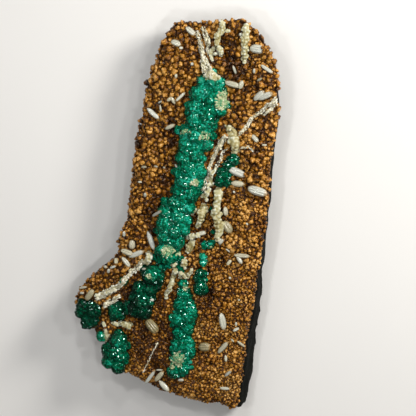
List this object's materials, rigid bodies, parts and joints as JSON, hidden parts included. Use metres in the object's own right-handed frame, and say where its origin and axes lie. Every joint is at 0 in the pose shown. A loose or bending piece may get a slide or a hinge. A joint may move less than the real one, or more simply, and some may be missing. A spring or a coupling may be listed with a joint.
{
  "type": "apophyllite crystal specimen on basalt",
  "caption": "Slab of dark basalt with a nodular brown chalcedony crust, a vein of green apophyllite crystals and pale stilbite blades, lying on its flat back.",
  "frame": {"origin": "centre of the flat back, on the surface that the slab lies on", "axes": "+Z out of the crystal face, +Y along the slab toward its narrow top, +X to the right across the face"},
  "size_m": [0.1922, 0.3685, 0.0475],
  "materials": {
    "basalt": "matte",
    "crust": "satin",
    "green_crystal": "gloss",
    "pale_blade": "satin",
    "cream_stalk": "satin"
  },
  "bodies": {
    "root": {"apophyllite_far_left": "green_crystal", "apophyllite_foot": "green_crystal", "apophyllite_foot_bud": "green_crystal", "apophyllite_left_knob": "green_crystal", "apophyllite_left_mass": "green_crystal", "apophyllite_lower_chain": "green_crystal", "apophyllite_lower_right": "green_crystal", "apophyllite_main_vein": "green_crystal", "apophyllite_right_bud": "green_crystal", "apophyllite_right_cluster": "green_crystal", "apophyllite_right_oval": "green_crystal", "apophyllite_vein_bud": "green_crystal", "basalt_matrix": "basalt", "chalcedony_crust": "crust", "stalk_drop": "cream_stalk", "stalk_inner": "cream_stalk", "stalk_knob": "cream_stalk", "stalk_lower": "cream_stalk", "stalk_ring": "cream_stalk", "stalk_short": "cream_stalk", "stalk_slanted": "cream_stalk", "stalk_tall": "cream_stalk", "stalk_top_hook": "cream_stalk", "stalk_top_right": "cream_stalk", "stilbite_blade_01": "pale_blade", "stilbite_blade_02": "pale_blade", "stilbite_blade_03": "pale_blade", "stilbite_blade_04": "pale_blade", "stilbite_blade_05": "pale_blade", "stilbite_blade_06": "pale_blade", "stilbite_blade_07": "pale_blade", "stilbite_blade_08": "pale_blade", "stilbite_blade_09": "pale_blade", "stilbite_blade_10": "pale_blade", "stilbite_blade_11": "pale_blade", "stilbite_blade_12": "pale_blade", "stilbite_blade_13": "pale_blade", "stilbite_blade_14": "pale_blade", "stilbite_blade_15": "pale_blade", "stilbite_blade_16": "pale_blade", "stilbite_blade_17": "pale_blade", "stilbite_blade_18": "pale_blade", "stilbite_blade_19": "pale_blade", "stilbite_blade_20": "pale_blade", "stilbite_blade_21": "pale_blade", "stilbite_blade_22": "pale_blade", "stilbite_blade_23": "pale_blade", "stilbite_blade_24": "pale_blade", "stilbite_blade_25": "pale_blade", "stilbite_blade_26": "pale_blade", "stilbite_blade_27": "pale_blade", "strand_top_left": "cream_stalk", "strand_top_middle": "cream_stalk", "vein_fork": "cream_stalk", "vein_left_lower": "cream_stalk", "vein_left_upper": "cream_stalk", "vein_middle": "cream_stalk", "vein_right": "cream_stalk", "vein_star": "cream_stalk", "vein_thread": "cream_stalk"}
  },
  "joints": []
}
